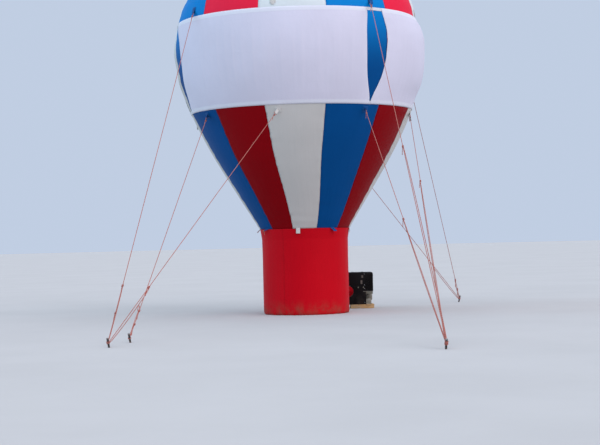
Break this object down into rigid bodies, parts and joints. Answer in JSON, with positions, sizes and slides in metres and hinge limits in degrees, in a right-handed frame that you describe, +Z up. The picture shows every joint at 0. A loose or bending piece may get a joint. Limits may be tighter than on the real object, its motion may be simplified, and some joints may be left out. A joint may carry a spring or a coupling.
{
  "type": "advertising blimp balloon",
  "caption": "Standing cold-air advertising balloon with striped gores, blank banner band, round inflated base, guy ropes to ground stakes and a blower on a wooden board.",
  "frame": {"origin": "centre of the base's underside, on the ground", "axes": "+Z up, -Y towards the street side that the front banner faces, +X to the right seen from there"},
  "size_m": [6.3851, 15.6814, 7.9399],
  "materials": {
    "nylon_white": "satin",
    "nylon_blue": "satin",
    "nylon_red": "satin",
    "banner_white": "satin",
    "rope": "matte",
    "stake_steel": "satin",
    "cabinet_plastic": "matte",
    "guard_wire": "satin",
    "motor_grey": "satin",
    "wheel_metal": "satin",
    "board_wood": "matte"
  },
  "bodies": {
    "balloon": {"banner_front": "banner_white", "banner_rear": "banner_white", "banner_right": "banner_white", "base_floor": "nylon_red", "base_wall": "nylon_red", "blower_board": "board_wood", "blower_cabinet": "cabinet_plastic", "blower_motor": "motor_grey", "crown_patch": "nylon_white", "gore_01_white": "nylon_white", "gore_02_blue": "nylon_blue", "gore_03_red": "nylon_red", "gore_04_white": "nylon_white", "gore_05_blue": "nylon_blue", "gore_06_red": "nylon_red", "gore_07_white": "nylon_white", "gore_08_blue": "nylon_blue", "gore_09_red": "nylon_red", "gore_10_white": "nylon_white", "gore_11_blue": "nylon_blue", "gore_12_red": "nylon_red", "guy_front_left_high": "rope", "guy_front_left_low": "rope", "guy_front_left_side": "rope", "guy_front_right_high": "rope", "guy_front_right_low": "rope", "guy_front_right_side": "rope", "guy_rear_high": "rope", "guy_rear_low": "rope", "guy_rear_right_high": "rope", "guy_rear_right_low": "rope", "inflation_sleeve": "nylon_red", "intake_grille": "guard_wire", "outlet_collar": "guard_wire", "power_inlet": "cabinet_plastic", "stake_front_left": "stake_steel", "stake_front_left_inner": "stake_steel", "stake_front_right": "stake_steel", "stake_rear": "stake_steel", "stake_rear_right": "stake_steel", "strip_bottom": "nylon_white", "strip_top": "nylon_white"},
    "impeller": {"blower_impeller": "wheel_metal"}
  },
  "joints": [
    {"name": "impeller_spin", "type": "hinge", "parent": "balloon", "child": "impeller", "pos_m": [0.89, 1.64, 0.262], "axis": [1, 0, 0], "continuous": true}
  ]
}
